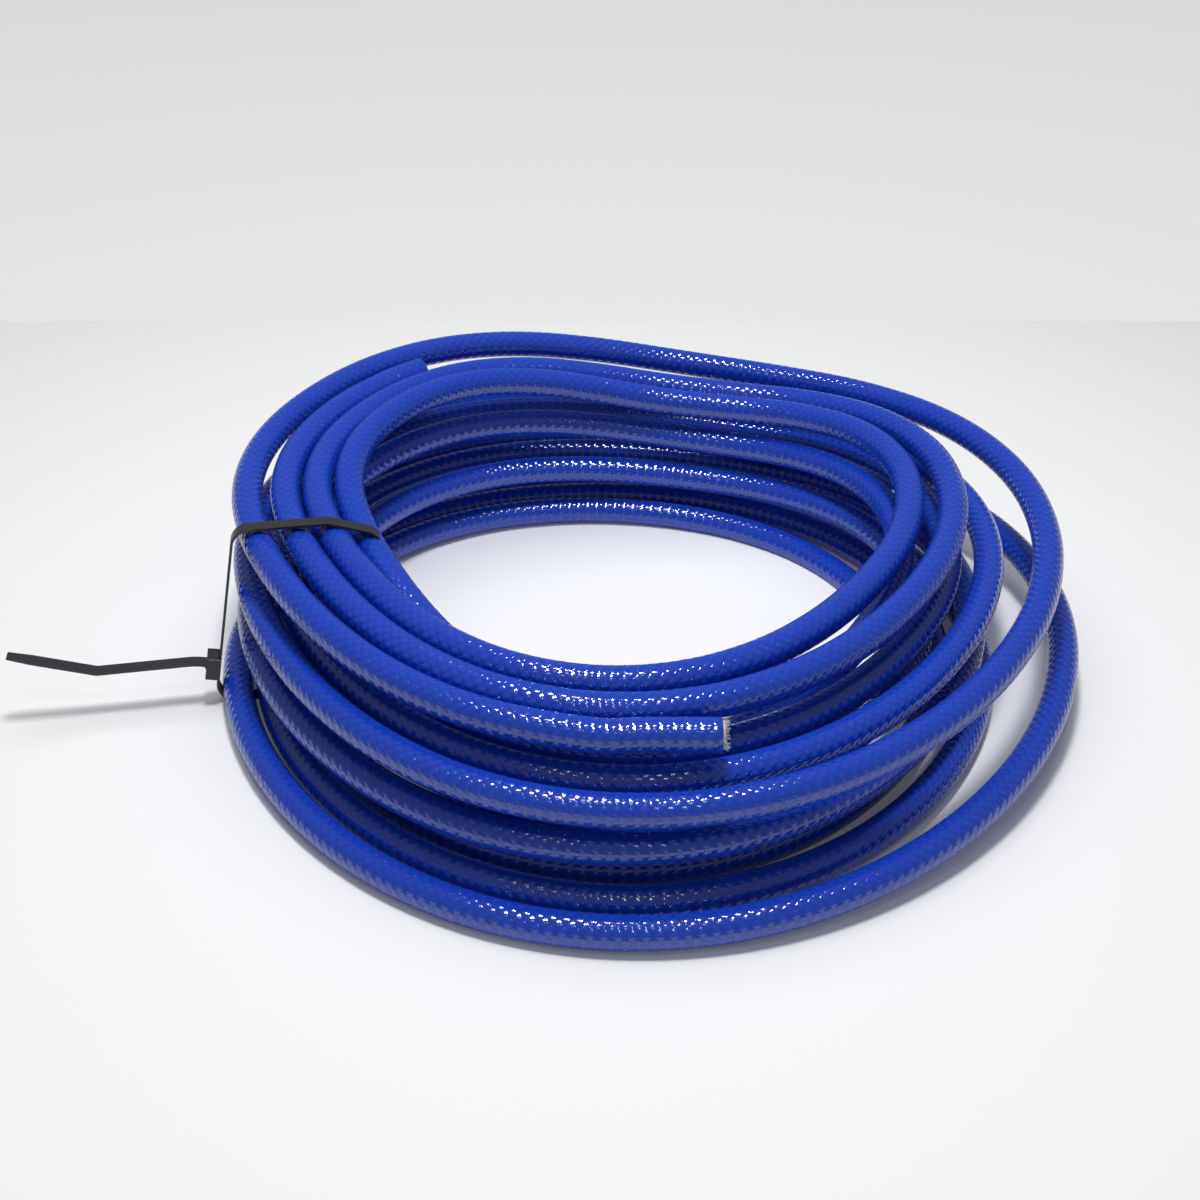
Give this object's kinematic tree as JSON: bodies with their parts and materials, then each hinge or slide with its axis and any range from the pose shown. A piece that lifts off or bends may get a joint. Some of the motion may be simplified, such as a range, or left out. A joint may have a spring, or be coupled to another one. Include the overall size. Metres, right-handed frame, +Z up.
{
  "type": "coiled air hose",
  "caption": "Length of braided air hose with two plain cut ends, coiled in loose loops and held at one side by a cable tie.",
  "frame": {"origin": "on the floor plane, under the middle of the whole object's box, the tie's tail included", "axes": "+Z up from the floor, -Y towards the side where the hose's free end lies, -X towards the cable tie's tail"},
  "size_m": [0.5674, 0.4616, 0.1135],
  "materials": {
    "cover_blue": "glossy, with the braid showing through as a fine raised weave",
    "braid_white": "matte white yarn",
    "liner_cream": "smooth, pale",
    "nylon_black": "smooth black nylon with a soft sheen"
  },
  "bodies": {
    "coil": {"hose_cover": "cover_blue", "braid_free_end": "braid_white", "liner_free_end": "liner_cream", "braid_tucked_end": "braid_white", "liner_tucked_end": "liner_cream", "cable_tie": "nylon_black"},
    "pawl": {"cable_tie_pawl": "nylon_black"}
  },
  "joints": [
    {"name": "pawl_flex", "type": "hinge", "parent": "coil", "child": "pawl", "pos_m": [-0.18244, -0.03877, 0.02196], "axis": [0.1736, -0.9848, 0], "range_deg": [0, 12], "stiffness_Nm_per_rad": 0.005}
  ]
}
